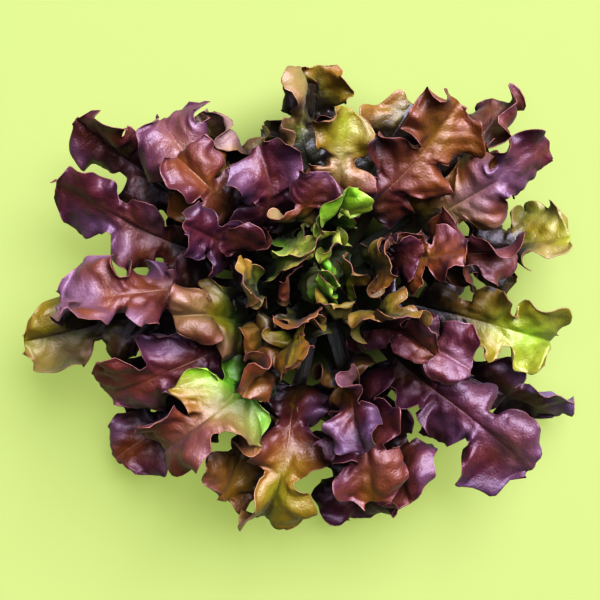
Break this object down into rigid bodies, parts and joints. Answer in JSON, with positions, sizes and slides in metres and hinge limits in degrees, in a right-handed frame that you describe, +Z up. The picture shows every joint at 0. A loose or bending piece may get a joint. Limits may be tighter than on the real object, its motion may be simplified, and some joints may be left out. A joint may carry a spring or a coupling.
{
  "type": "oak leaf lettuce",
  "caption": "Head of red oak leaf lettuce: lobed, curled burgundy, bronze and green leaves growing in a loose rosette from a short pale stem with a flat cut face.",
  "frame": {"origin": "centre of the flat cut face of the stem, on the surface that the head stands on", "axes": "+Z up along the stem, out of the heart; +X along the head's longest direction, to the right in the picture; +Y towards the picture's top edge"},
  "size_m": [0.3061, 0.2559, 0.1351],
  "materials": {
    "burgundy_leaf": "dark red leaf blade, softly glossy",
    "bronze_leaf": "olive to bronze leaf blade, softly glossy",
    "green_leaf": "green leaf blade, softly glossy",
    "pale_stem": "moist cut stem, satin"
  },
  "bodies": {
    "root": {"stem": "pale_stem", "leaf_01": "burgundy_leaf", "leaf_02": "burgundy_leaf", "leaf_03": "bronze_leaf", "leaf_04": "burgundy_leaf", "leaf_05": "bronze_leaf", "leaf_06": "burgundy_leaf", "leaf_07": "burgundy_leaf", "leaf_08": "burgundy_leaf", "leaf_09": "bronze_leaf", "leaf_10": "burgundy_leaf", "leaf_11": "burgundy_leaf", "leaf_12": "burgundy_leaf", "leaf_13": "bronze_leaf", "leaf_14": "bronze_leaf", "leaf_15": "burgundy_leaf", "leaf_16": "burgundy_leaf", "leaf_17": "bronze_leaf", "leaf_18": "burgundy_leaf", "leaf_19": "burgundy_leaf", "leaf_20": "bronze_leaf", "leaf_21": "burgundy_leaf", "leaf_22": "bronze_leaf", "leaf_23": "burgundy_leaf", "leaf_24": "burgundy_leaf", "leaf_25": "green_leaf", "leaf_26": "bronze_leaf", "leaf_27": "burgundy_leaf", "leaf_28": "burgundy_leaf", "leaf_29": "burgundy_leaf", "leaf_30": "burgundy_leaf", "leaf_31": "bronze_leaf", "leaf_32": "burgundy_leaf", "leaf_33": "burgundy_leaf", "leaf_34": "bronze_leaf", "leaf_35": "burgundy_leaf", "leaf_36": "burgundy_leaf", "leaf_37": "green_leaf", "leaf_38": "bronze_leaf", "leaf_39": "burgundy_leaf", "leaf_40": "burgundy_leaf", "leaf_41": "burgundy_leaf", "leaf_42": "burgundy_leaf", "leaf_43": "green_leaf", "leaf_44": "burgundy_leaf", "leaf_45": "burgundy_leaf", "leaf_46": "burgundy_leaf", "leaf_47": "bronze_leaf", "leaf_48": "green_leaf", "leaf_49": "bronze_leaf", "leaf_50": "green_leaf", "leaf_51": "burgundy_leaf", "leaf_52": "bronze_leaf", "leaf_53": "green_leaf", "leaf_54": "green_leaf", "leaf_55": "green_leaf"}
  },
  "joints": []
}
